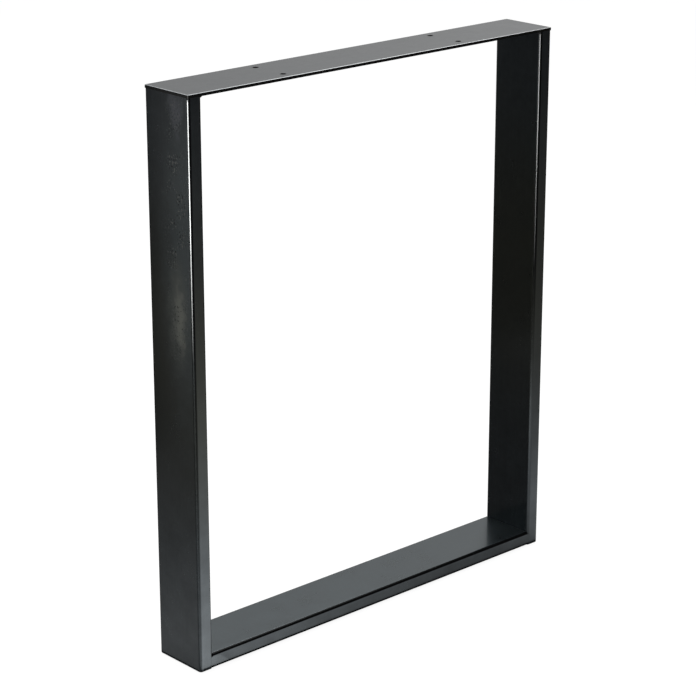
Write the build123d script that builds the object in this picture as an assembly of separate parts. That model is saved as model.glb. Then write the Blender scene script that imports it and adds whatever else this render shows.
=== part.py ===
from build123d import *
import os

# Welded table leg: a closed frame of rectangular steel tube under a flat steel plate.
# Millimetres. X runs along the frame, Y through it, +Z up.
# The origin is on the floor, under the middle of the frame.

# Driving dimensions of the frame
leg_width = 600.0
leg_height = 720.0

# Rectangular tube of the uprights and the rail, cold formed with an even wall
tube_depth = 80.0
tube_thickness = 20.0
tube_wall = 2.0
tube_inner_radius = 2.0

# Flat bar that closes the frame and takes the table top
plate_thickness = 4.0
plate_corner_radius = 1.5
plate_edge_radius = 1.0
hole_diameter = 6.5
hole_spacing_x = 290.0
hole_spacing_y = 50.0
hole_deburr = 0.2

# Lower ends of the uprights, ground where they meet the floor and closed by a plate let in flush
foot_edge_radius = 1.6
foot_cap_thickness = 3.0

# Fillet bead under the plate, with a slightly crowned face and ends that turn round the tube's edges
plate_weld_leg = 2.0
plate_weld_crown = 0.3
plate_weld_turn = 35.0

# Seam at the rail's ends, filled over the rounded edge of the upright and ground level
rail_weld_width = 3.0

# Sizes that follow from the driving dimensions
tube_corner_radius = tube_inner_radius + tube_wall
upright_height = leg_height - plate_thickness
rail_length = leg_width - 2 * tube_thickness
upright_x = (leg_width - tube_thickness) / 2
inner_face_x = rail_length / 2
front_y = -tube_depth / 2
edge_center_x = -inner_face_x - tube_corner_radius
edge_center_y = front_y + tube_corner_radius
foot_edge = min(foot_edge_radius, 0.8 * tube_wall)
plate_edge = min(plate_edge_radius, plate_thickness / 2, plate_corner_radius)


def tube_bore():
    """Inside of the tube, its short side along X and its long side along Y."""
    return RectangleRounded(tube_thickness - 2 * tube_wall, tube_depth - 2 * tube_wall, tube_inner_radius)


def tube_section():
    """Wall of the tube, its short side along X and its long side along Y."""
    return RectangleRounded(tube_thickness, tube_depth, tube_corner_radius) - tube_bore()


def make_upright(x):
    """Tube cut square at both ends, with its lower outer edges ground round."""
    upright = Pos(x, 0, 0) * extrude(tube_section(), upright_height)
    lower_end = upright.faces().sort_by(Axis.Z)[0]
    return fillet(lower_end.outer_wire().edges(), foot_edge)


def make_bottom_rail():
    """The same tube laid flat on the floor between the uprights."""
    lying_section = Plane(origin=(-inner_face_x, 0, tube_thickness / 2), x_dir=(0, 0, 1), z_dir=(1, 0, 0))
    return extrude(lying_section * tube_section(), rail_length)


def make_top_plate():
    """Flat bar over both uprights, with four deburred screw holes, eased corners and upper edges."""
    outline = RectangleRounded(leg_width, tube_depth, plate_corner_radius)
    outline -= GridLocations(hole_spacing_x, hole_spacing_y, 2, 2) * Circle(hole_diameter / 2)
    plate = Pos(0, 0, upright_height) * extrude(outline, plate_thickness)
    flat_faces = plate.faces().filter_by(Axis.Z).sort_by(Axis.Z)
    hole_rims = [wire.edge() for face in flat_faces for wire in face.inner_wires()]
    plate = chamfer(hole_rims, hole_deburr)
    upper_face = plate.faces().filter_by(Axis.Z).sort_by(Axis.Z)[-1]
    return fillet(upper_face.outer_wire().edges(), plate_edge)


def make_foot_caps():
    """Plates let into the lower ends of both uprights."""
    return [Pos(x, 0, 0) * extrude(tube_bore(), foot_cap_thickness) for x in (-upright_x, upright_x)]


def make_plate_welds():
    """Fillet beads under the plate, along the uprights' inner faces and round their edges."""
    front_center = Vector(edge_center_x, edge_center_y, upright_height)
    back_center = Vector(edge_center_x, -edge_center_y, upright_height)
    front_turn = CenterArc(front_center, tube_corner_radius, -plate_weld_turn, plate_weld_turn)
    back_turn = CenterArc(back_center, tube_corner_radius, 0, plate_weld_turn)
    heel = front_turn + Line(front_turn @ 1, back_turn @ 0) + back_turn
    bead_end = Plane(origin=heel @ 0, x_dir=heel @ 0 - front_center, z_dir=heel % 0)
    crown = plate_weld_leg / 2 + plate_weld_crown / 2**0.5
    outline = Polyline((0, plate_weld_leg), (0, 0), (plate_weld_leg, 0))
    outline += ThreePointArc((plate_weld_leg, 0), (crown, crown), (0, plate_weld_leg))
    left_bead = sweep(bead_end * make_face(outline), heel)
    return [left_bead, mirror(left_bead, about=Plane.YZ)]


def make_rail_welds():
    """Seams between the rail's ends and the rounded edges of the uprights, filled level with the faces."""
    seam_width = min(rail_weld_width, tube_corner_radius)
    groove = Pos(-inner_face_x - seam_width / 2, front_y + tube_wall / 2) * Rectangle(seam_width, tube_wall)
    groove -= Pos(edge_center_x, edge_center_y) * Circle(tube_corner_radius)
    flat_height = tube_thickness - 2 * tube_corner_radius
    front_left = Pos(0, 0, tube_corner_radius) * extrude(groove, flat_height)
    front = [front_left, mirror(front_left, about=Plane.YZ)]
    return front + [mirror(seam, about=Plane.XZ) for seam in front]


pieces = {
    "left_upright": make_upright(-upright_x),
    "right_upright": make_upright(upright_x),
    "bottom_rail": make_bottom_rail(),
    "top_plate": make_top_plate(),
    "foot_caps": Compound(children=make_foot_caps()),
    "plate_welds": Compound(children=make_plate_welds()),
    "rail_welds": Compound(children=make_rail_welds()),
}

os.makedirs("parts", exist_ok=True)
for name, piece in pieces.items():
    export_step(piece, f"parts/{name}.step")
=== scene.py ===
import math
from collections import namedtuple

import bpy
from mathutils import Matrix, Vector

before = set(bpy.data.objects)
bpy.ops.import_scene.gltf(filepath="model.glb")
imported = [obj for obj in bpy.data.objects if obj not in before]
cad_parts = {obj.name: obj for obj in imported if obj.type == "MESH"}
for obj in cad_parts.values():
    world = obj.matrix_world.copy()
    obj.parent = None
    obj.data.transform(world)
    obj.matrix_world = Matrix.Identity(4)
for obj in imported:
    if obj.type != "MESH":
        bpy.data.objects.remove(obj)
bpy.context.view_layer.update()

# Camera of the photograph: place in metres, direction in degrees, focal length in pixels of the image
IMAGE_SIDE_PX = 696
SENSOR_MM = 36.0
CAMERA_PLACE = (-1.905, -2.061, 1.2885)
CAMERA_AZIMUTH = -42.46
CAMERA_ELEVATION = 18.64
CAMERA_FOCAL_PX = 2331.0

# Axes along which the steel was rolled
GRAIN_X, GRAIN_Y, GRAIN_Z = range(3)

# Tone of rolled steel: size of its clouds, width and length of its streaks, and the streaks' share
CLOUD_MM, STREAK_WIDTH_MM, STREAK_LENGTH_MM = 36.0, 3.0, 140.0
STREAK_SHARE = 0.18

# Cosines between which a bend begins: about 4 and 15 degrees away from the flat face
FLAT_COSINE, BENT_COSINE = 0.997, 0.965

# Painted highlight line on the uprights' bends: the way it faces, and the cosines about 9 and 6
# degrees off it between which it fades in
LINE_FACING = (0.82, 0.57, 0.0)
LINE_RIM_COSINE, LINE_FULL_COSINE = 0.988, 0.994

# Heights on the uprights, in metres: the painted shade on the bends begins and is full, the painted
# highlight line begins and is full, and the line ends at the seam under the plate
BEND_SHADE_BEGINS, BEND_SHADE_FULL = 0.2, 0.45
LINE_BEGINS, LINE_FULL = 0.4, 0.57
LINE_FADES, LINE_ENDS = 0.7115, 0.7145

# Screw holes in the plate: half their spacing both ways and their radius, in metres
HOLE_X, HOLE_Y, HOLE_RADIUS = 0.145, 0.025, 0.00325
# Painted shade ring round a hole: how far it is fully dark and where it ends, out from the hole's edge
RING_BLACK, RING_END = 0.0008, 0.0011

# Grain of the scale, really about 0.3 mm, drawn at 2 mm so that it doesn't fall between the samples
GRAIN_MM = 2.0

# A wave texture repeats every 0.314 of its unit
WAVE_LENGTH = 0.314

# Studio: side of the floor and its drop below the feet in metres, the floor's glow where it is seen,
# and the strength of the surroundings where they only give light
FLOOR_SIDE, FLOOR_DROP = 16.0, 0.0005
FLOOR_GLOW, WORLD_LIGHT = 0.88, 0.56

# Places of a Mix node's two colours and of the mixed colour, since their names aren't unique
COLOUR_A, COLOUR_B, MIXED_COLOUR = 6, 7, 2


def linear(hex_colour):
    """An sRGB hex colour as linear red, green, blue and alpha."""
    channels = [int(hex_colour[k:k + 2], 16) / 255 for k in (1, 3, 5)]
    return [c / 12.92 if c <= 0.04045 else ((c + 0.055) / 1.055) ** 2.4 for c in channels] + [1.0]


def per_mm(size_mm):
    """Texture scale at which one feature of a pattern measures this many millimetres."""
    return 1000.0 / size_mm


def add_node(tree, kind, inputs=None, **settings):
    """Adds a node with its settings; an input takes a value or another node's socket."""
    node = tree.nodes.new(kind)
    for name, value in settings.items():
        setattr(node, name, value)
    for name, value in (inputs or {}).items():
        if isinstance(value, bpy.types.NodeSocket):
            tree.links.new(value, node.inputs[name])
        else:
            node.inputs[name].default_value = value
    return node


def new_material(name):
    """An empty node material and its output node."""
    material = bpy.data.materials.new(name)
    material.use_nodes = True
    material.node_tree.nodes.clear()
    return material, add_node(material.node_tree, "ShaderNodeOutputMaterial")


def painted(tree, ground, layers):
    """Colours laid over a ground one after another, each as strongly as its mask."""
    colour = linear(ground)
    for mask, layer in layers:
        mix = add_node(
            tree,
            "ShaderNodeMix",
            {"Factor": mask, COLOUR_A: colour, COLOUR_B: linear(layer)},
            data_type="RGBA",
        )
        colour = mix.outputs[MIXED_COLOUR]
    return colour


def rolled_tone(tree, place, grain_axis):
    """Tone of rolled steel, 0 to 1: clouds in the mill scale and faint streaks along the rolling."""
    clouds = add_node(
        tree,
        "ShaderNodeTexNoise",
        {"Vector": place, "Scale": per_mm(CLOUD_MM), "Detail": 5.0, "Roughness": 0.6},
    )
    streak_scale = [per_mm(STREAK_WIDTH_MM)] * 3
    streak_scale[grain_axis] = per_mm(STREAK_LENGTH_MM)
    along = add_node(tree, "ShaderNodeMapping", {"Vector": place, "Scale": streak_scale})
    streaks = add_node(
        tree, "ShaderNodeTexNoise", {"Vector": along.outputs[0], "Scale": 1.0, "Detail": 2.0}
    )
    both = add_node(
        tree,
        "ShaderNodeMix",
        {"Factor": STREAK_SHARE, "A": clouds.outputs["Fac"], "B": streaks.outputs["Fac"]},
    )
    tone = add_node(
        tree, "ShaderNodeMapRange", {"Value": both.outputs[0], "From Min": 0.3, "From Max": 0.7}
    )
    return tone.outputs[0]


def unsigned_normal(tree):
    """Outward direction of the surface without its signs, so that mirrored sides are alike."""
    outward = add_node(tree, "ShaderNodeNewGeometry").outputs["Normal"]
    return add_node(tree, "ShaderNodeVectorMath", {0: outward}, operation="ABSOLUTE").outputs[0]


def bent_edges(tree, strength):
    """Mask of the tube's rounded edges: 0 on the flats and up to the strength in the bends."""
    split = add_node(tree, "ShaderNodeSeparateXYZ", {0: unsigned_normal(tree)})
    squarest = split.outputs["X"]
    for axis in ("Y", "Z"):
        squarest = add_node(
            tree, "ShaderNodeMath", {0: squarest, 1: split.outputs[axis]}, operation="MAXIMUM"
        ).outputs[0]
    bend = add_node(
        tree,
        "ShaderNodeMapRange",
        {"Value": squarest, "From Min": FLAT_COSINE, "From Max": BENT_COSINE, "To Max": strength},
    )
    return bend.outputs[0]


def painted_highlight_line(tree, facing, strength):
    """Mask of a narrow painted highlight along the bends, where they face this way or its mirror image.
    """
    near = add_node(
        tree, "ShaderNodeVectorMath", {0: unsigned_normal(tree), 1: facing}, operation="DOT_PRODUCT"
    )
    line = add_node(
        tree,
        "ShaderNodeMapRange",
        {
            "Value": near.outputs["Value"],
            "From Min": LINE_RIM_COSINE,
            "From Max": LINE_FULL_COSINE,
            "To Max": strength,
        },
    )
    return line.outputs[0]


def soft_spot(tree, place, middle, half_size, strength):
    """Mask of an oval spot on the surface that fades from its middle to its rim."""
    nearby = add_node(
        tree,
        "ShaderNodeMapping",
        {"Vector": place, "Location": middle, "Scale": half_size},
        vector_type="TEXTURE",
    )
    away = add_node(tree, "ShaderNodeVectorMath", {0: nearby.outputs[0]}, operation="LENGTH")
    fade = add_node(
        tree,
        "ShaderNodeMapRange",
        {"Value": away.outputs["Value"], "From Min": 0.1, "To Min": strength, "To Max": 0.0},
        interpolation_type="SMOOTHSTEP",
    )
    return fade.outputs[0]


def handling_marks(tree, place):
    """Wear on the left upright's outer face, as colours and their masks.

    A worn front half, a rubbed patch with a lighter core, a smudge, and a column of flecks and pits.
    """
    # Ragged outlines: the place is shaken by up to 24 mm across the face and 70 mm along it
    shake_reach = (0.0, 0.024, 0.07)
    shake = add_node(
        tree,
        "ShaderNodeTexNoise",
        {"Vector": place, "Scale": per_mm(24.0), "Detail": 4.0, "Roughness": 0.65},
    )
    ragged = add_node(
        tree,
        "ShaderNodeVectorMath",
        {0: shake.outputs["Color"], 1: shake_reach, 2: place},
        operation="MULTIPLY_ADD",
    ).outputs[0]
    # The shake moves every spot by half its reach, so the middles are given with 12 and 35 mm added
    worn = soft_spot(tree, ragged, (-0.300, -0.018, 0.555), (0.005, 0.060, 0.280), 0.8)
    wear_and_highlight = soft_spot(tree, ragged, (-0.300, -0.001, 0.490), (0.005, 0.024, 0.090), 0.7)
    core = soft_spot(tree, ragged, (-0.300, -0.004, 0.482), (0.005, 0.013, 0.050), 0.9)
    smudge = soft_spot(tree, ragged, (-0.300, -0.005, 0.733), (0.005, 0.017, 0.040), 0.8)
    column = soft_spot(tree, ragged, (-0.300, -0.002, 0.590), (0.005, 0.028, 0.240), 1.0)
    layers = [(worn, "#757f81"), (wear_and_highlight, "#8c9088"), (core, "#b0b3a9"), (smudge, "#84878f")]
    # Bright flecks and dark pits about 1 mm across, in groups of 15 to 20 mm
    specks = add_node(
        tree, "ShaderNodeTexNoise", {"Vector": place, "Scale": per_mm(2.8), "Detail": 1.0}
    )
    groups = add_node(
        tree, "ShaderNodeTexNoise", {"Vector": place, "Scale": per_mm(30.0), "Detail": 0.0}
    )
    grouped = add_node(
        tree,
        "ShaderNodeMapRange",
        {"Value": groups.outputs["Fac"], "From Min": 0.46, "From Max": 0.56, "To Max": column},
    ).outputs[0]
    for begins, full, colour in ((0.60, 0.66, "#a3a59f"), (0.38, 0.32, "#101112")):
        grains = add_node(
            tree,
            "ShaderNodeMapRange",
            {"Value": specks.outputs["Fac"], "From Min": begins, "From Max": full, "To Max": grouped},
        )
        layers.append((grains.outputs[0], colour))
    return layers


def scale_grain(tree, place):
    """Fine grain of the mill scale, which breaks up its reflections."""
    grain = add_node(
        tree, "ShaderNodeTexNoise", {"Vector": place, "Scale": per_mm(GRAIN_MM), "Detail": 1.0}
    )
    return grain.outputs["Fac"]


def lacquer(tree, output, colour, roughness, height, depth_mm, cover=1.0):
    """Steel under clear satin lacquer: a crisp reflection over the duller one of the scale."""
    bump = add_node(
        tree, "ShaderNodeBump", {"Height": height, "Distance": depth_mm / 1000.0, "Strength": 1.0}
    )
    shader = add_node(
        tree,
        "ShaderNodeBsdfPrincipled",
        {
            "Base Color": colour,
            "Metallic": 1.0,
            "Roughness": roughness,
            "Normal": bump.outputs[0],
            "Coat Weight": cover,
            "Coat Roughness": 0.13,
        },
    )
    tree.links.new(shader.outputs[0], output.inputs["Surface"])


def tube_steel(name, grain_axis, is_upright):
    """Cold formed tube in its mill scale: clouded dark slate grey, with painted shade round the bent
    edges, a painted highlight along the uprights' bends and painted light on the rail's top.
    """
    material, output = new_material(name)
    tree = material.node_tree
    place = add_node(tree, "ShaderNodeTexCoord").outputs["Object"]
    tone = rolled_tone(tree, place, grain_axis)
    layers = [(tone, "#51585c")]
    bend_shade = 1.0
    if is_upright:
        # Painted shade on the bends, weaker towards the feet
        height = add_node(tree, "ShaderNodeSeparateXYZ", {0: place}).outputs["Z"]
        bend_shade = add_node(
            tree,
            "ShaderNodeMapRange",
            {"Value": height, "From Min": BEND_SHADE_BEGINS, "From Max": BEND_SHADE_FULL, "To Min": 0.2},
        ).outputs[0]
        # Half way up, the scale has a warmer tint
        warm = soft_spot(tree, place, (0.0, 0.0, 0.40), (3.0, 3.0, 0.29), 0.8)
        layers += [(warm, "#484a3f")] + handling_marks(tree, place)
    else:
        # Painted light: the rail's upward face is a lighter grey
        outward = add_node(tree, "ShaderNodeNewGeometry").outputs["Normal"]
        upward = add_node(tree, "ShaderNodeSeparateXYZ", {0: outward}).outputs["Z"]
        painted_light_on_top = add_node(
            tree, "ShaderNodeMapRange", {"Value": upward, "From Min": 0.98, "From Max": 0.998}
        )
        layers.append((painted_light_on_top.outputs[0], "#586266"))
    # Painted shade: the rounded edges turn very dark
    bend = bent_edges(tree, bend_shade)
    layers.append((bend, "#171819"))
    if is_upright:
        # A painted highlight line along the upper half's bends, up to the seam under the plate
        upper = add_node(
            tree,
            "ShaderNodeMapRange",
            {"Value": height, "From Min": LINE_BEGINS, "From Max": LINE_FULL},
        ).outputs[0]
        highlight_strength = add_node(
            tree,
            "ShaderNodeMapRange",
            {
                "Value": height,
                "From Min": LINE_FADES,
                "From Max": LINE_ENDS,
                "To Min": upper,
                "To Max": 0.0,
            },
        ).outputs[0]
        layers.append((painted_highlight_line(tree, LINE_FACING, highlight_strength), "#dfe1e0"))
    # The lacquer is thinned on the bends under their painted shade, so they stay dark and dull
    cover = add_node(
        tree, "ShaderNodeMapRange", {"Value": bend, "To Min": 1.0, "To Max": 0.1}
    ).outputs[0]
    colour = painted(tree, "#3b4246", layers)
    roughness = add_node(
        tree, "ShaderNodeMapRange", {"Value": tone, "To Min": 0.33, "To Max": 0.26}
    ).outputs[0]
    lacquer(tree, output, colour, roughness, scale_grain(tree, place), depth_mm=0.004, cover=cover)
    return material


def plate_steel(name):
    """Flat bar: smoother, a little lighter, with painted shade on its sides and in its holes, and a
    painted highlight on its rounded edges.
    """
    material, output = new_material(name)
    tree = material.node_tree
    place = add_node(tree, "ShaderNodeTexCoord").outputs["Object"]
    tone = rolled_tone(tree, place, GRAIN_X)
    # 1 on the flat faces, 0 on the sides, and in between on the rounded edges
    flatness = add_node(tree, "ShaderNodeSeparateXYZ", {0: unsigned_normal(tree)}).outputs["Z"]
    # Painted shade: the sides of the bar are very dark
    shaded_sides = add_node(
        tree,
        "ShaderNodeMapRange",
        {"Value": flatness, "From Min": 0.4, "From Max": 0.6, "To Min": 1.0, "To Max": 0.0},
    ).outputs[0]
    # Painted highlight on the upper edges, brighter towards the right end
    length = add_node(tree, "ShaderNodeSeparateXYZ", {0: place}).outputs["X"]
    wear_and_highlight = add_node(
        tree, "ShaderNodeMapRange", {"Value": length, "From Min": -0.3, "From Max": 0.3, "To Min": 0.3}
    ).outputs[0]
    into_edge = add_node(
        tree,
        "ShaderNodeMapRange",
        {"Value": flatness, "From Min": 0.55, "From Max": 0.8, "To Max": wear_and_highlight},
    ).outputs[0]
    rim = add_node(
        tree,
        "ShaderNodeMapRange",
        {"Value": flatness, "From Min": 0.93, "From Max": 0.99, "To Min": into_edge, "To Max": 0.0},
    ).outputs[0]
    # The four holes lie mirrored about the middle of the plate, so one is enough to find them all
    mirrored = add_node(tree, "ShaderNodeVectorMath", {0: place}, operation="ABSOLUTE")
    on_plate = add_node(
        tree,
        "ShaderNodeVectorMath",
        {0: mirrored.outputs[0], 1: (1.0, 1.0, 0.0)},
        operation="MULTIPLY",
    )
    away = add_node(
        tree,
        "ShaderNodeVectorMath",
        {0: on_plate.outputs[0], 1: (HOLE_X, HOLE_Y, 0.0)},
        operation="DISTANCE",
    )
    # Painted shade inside the holes and on a ring round them
    hole_shade = add_node(
        tree,
        "ShaderNodeMapRange",
        {
            "Value": away.outputs["Value"],
            "From Min": HOLE_RADIUS + RING_END,
            "From Max": HOLE_RADIUS + RING_BLACK,
        },
    ).outputs[0]
    # No lacquer inside the holes and on the ring round them, so their painted shade stays dull
    cover = add_node(
        tree, "ShaderNodeMapRange", {"Value": hole_shade, "To Min": 1.0, "To Max": 0.0}
    ).outputs[0]
    colour = painted(
        tree,
        "#444a4d",
        [(tone, "#4f5558"), (shaded_sides, "#141515"), (rim, "#e2e4e5"), (hole_shade, "#020202")],
    )
    roughness = add_node(
        tree, "ShaderNodeMapRange", {"Value": tone, "To Min": 0.34, "To Max": 0.28}
    ).outputs[0]
    lacquer(tree, output, colour, roughness, scale_grain(tree, place), depth_mm=0.006, cover=cover)
    return material


def weld_steel(name):
    """Weld metal: brighter and yellower than the scale, in fine ripples across the bead."""
    material, output = new_material(name)
    tree = material.node_tree
    place = add_node(tree, "ShaderNodeTexCoord").outputs["Object"]
    tone = rolled_tone(tree, place, GRAIN_Y)
    colour = painted(tree, "#4a4b4a", [(tone, "#65645e")])
    ripples = add_node(
        tree,
        "ShaderNodeTexWave",
        {"Vector": place, "Scale": WAVE_LENGTH * per_mm(1.8), "Distortion": 1.2, "Detail": 1.0},
        bands_direction="Y",
    )
    roughness = add_node(
        tree, "ShaderNodeMapRange", {"Value": tone, "To Min": 0.42, "To Max": 0.34}
    ).outputs[0]
    lacquer(tree, output, colour, roughness, ripples.outputs["Fac"], depth_mm=0.15)
    return material


def dress(node, material):
    """Gives a CAD node its finish."""
    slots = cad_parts[node].data.materials
    slots.clear()
    slots.append(material)


upright_material = tube_steel("lacquered_steel_tube_upright", GRAIN_Z, is_upright=True)
rail_material = tube_steel("lacquered_steel_tube_rail", GRAIN_X, is_upright=False)
dress("left_upright", upright_material)
dress("right_upright", upright_material)
dress("foot_caps", upright_material)
dress("bottom_rail", rail_material)
# The seams at the rail's ends are ground level and can't be told from it
dress("rail_welds", rail_material)
dress("top_plate", plate_steel("lacquered_steel_flat_bar"))
dress("plate_welds", weld_steel("lacquered_weld_metal"))


def background_ray(tree):
    """1 for a ray that sees the background, also in gloss or through glass, and 0 for its light."""
    path = add_node(tree, "ShaderNodeLightPath")
    seen = path.outputs["Is Camera Ray"]
    for kind in ("Is Glossy Ray", "Is Transmission Ray"):
        seen = add_node(
            tree, "ShaderNodeMath", {0: seen, 1: path.outputs[kind]}, operation="MAXIMUM"
        ).outputs[0]
    return seen


def pale_floor():
    """Plain white studio floor that keeps a faint shadow of the leg."""
    bpy.ops.mesh.primitive_plane_add(size=FLOOR_SIDE, location=(0, 0, -FLOOR_DROP))
    floor = bpy.context.active_object
    floor.name = "studio_floor"
    material, output = new_material("matt_white_floor")
    tree = material.node_tree
    glow_strength = add_node(
        tree, "ShaderNodeMapRange", {"Value": background_ray(tree), "To Max": FLOOR_GLOW}
    )
    glow = add_node(tree, "ShaderNodeEmission", {"Strength": glow_strength.outputs[0]})
    paint = add_node(tree, "ShaderNodeBsdfDiffuse", {"Color": linear("#7c7c7c")})
    surface = add_node(tree, "ShaderNodeAddShader", {0: glow.outputs[0], 1: paint.outputs[0]})
    tree.links.new(surface.outputs[0], output.inputs["Surface"])
    floor.data.materials.append(material)


def studio_world():
    """White surroundings, dimmer where they only give light."""
    world = bpy.data.worlds.new("white_studio")
    world.use_nodes = True
    tree = world.node_tree
    tree.nodes.clear()
    strength = add_node(
        tree, "ShaderNodeMapRange", {"Value": background_ray(tree), "To Min": WORLD_LIGHT}
    )
    white = add_node(
        tree, "ShaderNodeBackground", {"Color": linear("#ffffff"), "Strength": strength.outputs[0]}
    )
    output = add_node(tree, "ShaderNodeOutputWorld")
    tree.links.new(white.outputs[0], output.inputs["Surface"])
    bpy.context.scene.world = world


def softbox(name, place, aim, size, radiance):
    """A soft rectangular lamp at a place, turned to a point, with its brightness as radiance."""
    lamp = bpy.data.lights.new(name, "AREA")
    lamp.shape = "RECTANGLE"
    lamp.size, lamp.size_y = size
    lamp.energy = radiance * math.pi * size[0] * size[1]
    holder = bpy.data.objects.new(name, lamp)
    holder.location = place
    holder.rotation_mode = "QUATERNION"
    holder.rotation_quaternion = (Vector(aim) - Vector(place)).to_track_quat("-Z", "Y")
    holder.visible_camera = False
    bpy.context.scene.collection.objects.link(holder)


# A pool of light on a card: brightness, middle, reach along and across in metres, turn in degrees
Pool = namedtuple("Pool", "brightness middle reach turn", defaults=(0.0,))


def studio_card(name, place, facing, size, tone, pools=()):
    """A card that only the steel's gloss sees, in one tone, with pools of light that fade outwards."""
    bpy.ops.mesh.primitive_plane_add(size=1.0)
    card = bpy.context.active_object
    card.name = name
    card.scale = (size[0], size[1], 1.0)
    bpy.ops.object.transform_apply(location=False, rotation=False, scale=True)
    card.location = place
    card.rotation_mode = "QUATERNION"
    card.rotation_quaternion = Vector(facing).to_track_quat("Z", "Y")
    unturned = card.rotation_quaternion.inverted()
    material, output = new_material(name)
    tree = material.node_tree
    on_card = add_node(tree, "ShaderNodeTexCoord").outputs["Object"]
    strength = tone
    for pool in pools:
        turn = math.radians(pool.turn)
        along = unturned @ Vector((math.cos(turn), math.sin(turn), 0.0))
        in_pool = add_node(
            tree,
            "ShaderNodeMapping",
            {
                "Vector": on_card,
                "Location": unturned @ (Vector(pool.middle) - Vector(place)),
                "Rotation": (0.0, 0.0, math.atan2(along.y, along.x)),
                "Scale": (*pool.reach, 1.0),
            },
            vector_type="TEXTURE",
        )
        away = add_node(tree, "ShaderNodeVectorMath", {0: in_pool.outputs[0]}, operation="LENGTH")
        fade = add_node(
            tree, "ShaderNodeMath", {0: math.exp(-1.0), 1: away.outputs["Value"]}, operation="POWER"
        )
        strength = add_node(
            tree,
            "ShaderNodeMath",
            {0: fade.outputs[0], 1: pool.brightness, 2: strength},
            operation="MULTIPLY_ADD",
        ).outputs[0]
    glow = add_node(tree, "ShaderNodeEmission", {"Strength": strength})
    tree.links.new(glow.outputs[0], output.inputs["Surface"])
    material.cycles.emission_sampling = "NONE"
    card.data.materials.append(material)
    card.visible_camera = False
    card.visible_diffuse = False
    card.visible_transmission = False
    card.visible_shadow = False


def photo_camera():
    """The camera of the photograph."""
    azimuth, elevation = math.radians(CAMERA_AZIMUTH), math.radians(CAMERA_ELEVATION)
    back = Vector((
        math.sin(azimuth) * math.cos(elevation),
        -math.cos(azimuth) * math.cos(elevation),
        math.sin(elevation),
    ))
    lens = bpy.data.cameras.new("photo_camera")
    lens.sensor_width = SENSOR_MM
    lens.lens = SENSOR_MM * CAMERA_FOCAL_PX / IMAGE_SIDE_PX
    camera = bpy.data.objects.new("photo_camera", lens)
    camera.location = CAMERA_PLACE
    camera.rotation_mode = "QUATERNION"
    camera.rotation_quaternion = (-back).to_track_quat("-Z", "Y")
    bpy.context.scene.collection.objects.link(camera)
    bpy.context.scene.camera = camera


pale_floor()
studio_world()

# Lamp overhead, and two softboxes at the left that the uprights' bends mirror
UP, FRONT, BACK, LEFT, RIGHT = (0, 0, 1), (0, -1, 0), (0, 1, 0), (-1, 0, 0), (1, 0, 0)
TO_THE_LEG = (1.0, 0.48, 0.0)
softbox("overhead_softbox", (0.3, 0.6, 2.1), (0.3, 0.6, 0.0), (3.0, 2.2), 2.0)
studio_card("left_softbox", (-1.3, -0.52, 0.31), TO_THE_LEG, (0.6, 0.50), 3.3)
studio_card("small_softbox", (-1.118, -0.898, 0.33), TO_THE_LEG, (0.24, 0.2), 3.3)

# Floor round the leg as the steel mirrors it: bright by the feet, dimmer further out
left_pool = Pool(1.42, (-0.28, -0.08, 0.0), (0.53, 0.2), turn=-47.0)
right_pool = Pool(0.41, (0.42, -0.16, 0.0), (0.25, 0.25))
studio_card("front_floor", (0.95, -1.25, 0.0), UP, (2.5, 2.5), 0.13, [left_pool, right_pool])
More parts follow.
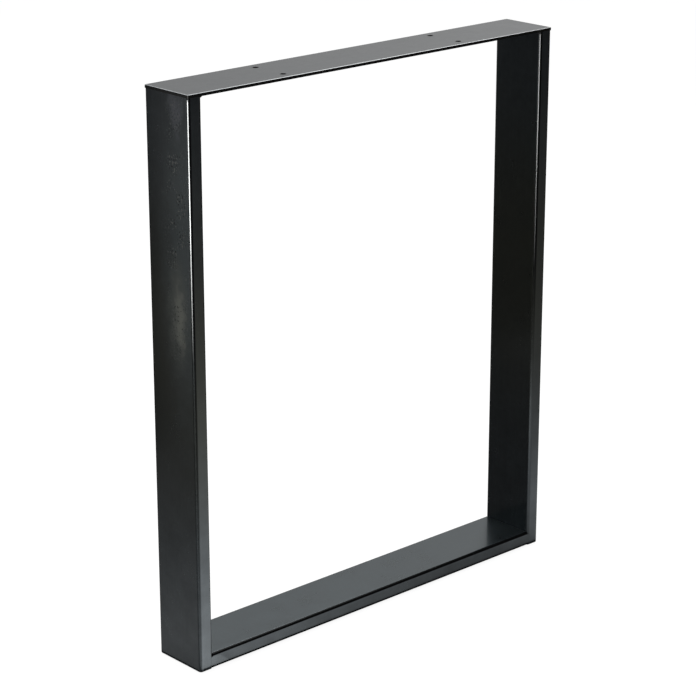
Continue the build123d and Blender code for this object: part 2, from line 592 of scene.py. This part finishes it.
# A strip of floor in front of the rail, as the steel mirrors it, with a painted shadow of the rail:
# dimmer than the floor round it
rail_pool = Pool(0.85, (-0.23, -0.058, 0.0), (0.36, 0.36))
rail_end_pool = Pool(0.25, (0.32, -0.058, 0.0), (0.07, 0.07))
rail_pools = [rail_pool, rail_end_pool]
studio_card("front_floor_by_rail", (0.03, -0.058, 0.0003), UP, (0.56, 0.036), 0.0, rail_pools)
back_left_pool = Pool(0.28, (-0.36, 0.05, 0.0), (0.37, 0.22), turn=133.0)
back_left_far_pool = Pool(0.21, (-1.3, 1.1, 0.0), (0.5, 0.5))
back_left_pools = [back_left_pool, back_left_far_pool]
studio_card("back_left_floor", (-1.3, 0.975, 0.0), UP, (2.0, 2.05), 0.04, back_left_pools)
front_left_pool = Pool(0.5, (-0.33, -0.07, 0.0), (0.35, 0.35))
studio_card("front_left_floor", (-1.3, -1.275, 0.0), UP, (2.0, 2.45), 0.2, [front_left_pool])
back_right_pool = Pool(0.35, (0.4, 0.08, 0.0), (0.5, 0.3), turn=47.0)
studio_card("back_right_floor", (1.3, 1.0, 0.0), UP, (2.0, 2.0), 0.22, [back_right_pool])
# Painted shade: the floor behind the opening, as the steel mirrors it, is dark
studio_card("floor_behind_opening", (0.0, 1.0, 0.0), UP, (0.6, 2.0), 0.06)
studio_card("contact_shade", (0.0, 0.0, 0.0005), UP, (0.607, 0.092), 0.02)

# Walls, and flags that keep the inner faces and the left bend dark
studio_card("left_wall", (-3.0, 0.2, 1.4), RIGHT, (3.4, 2.4), 0.33)
studio_card("back_left_wall", (-1.6, 1.6, 0.9), FRONT, (2.0, 1.8), 0.22)
flag_end_pool = Pool(0.27, (0.05, 0.6, 0.37), (0.12, 1.0))
studio_card("back_flag", (-0.345, 0.6, 0.37), FRONT, (0.79, 0.74), 0.03, [flag_end_pool])
studio_card("left_flag", (-0.4, -0.32, 0.36), RIGHT, (0.2, 0.72), 0.03)
plate_pool = Pool(0.11, (2.0, 1.6, 1.25), (0.45, 0.45))
studio_card("back_right_wall", (1.1, 1.6, 0.9), FRONT, (3.4, 1.8), 0.33, [plate_pool])
front_pool = Pool(0.3, (0.0, -2.5, 1.2), (0.5, 0.5))
studio_card("front_wall", (0.6, -2.5, 1.5), BACK, (4.4, 3.0), 0.04, [front_pool])
studio_card("front_left_wall", (-2.4, -2.4, 1.6), (1, 1, 0), (3.5, 2.4), 0.33)
corner_pool = Pool(0.33, (2.2, -2.2, 1.55), (0.5, 0.5))
studio_card("right_wall", (2.2, -0.6, 1.5), LEFT, (3.8, 3.0), 0.04, [corner_pool])

photo_camera()
bpy.context.scene.view_settings.view_transform = "Standard"
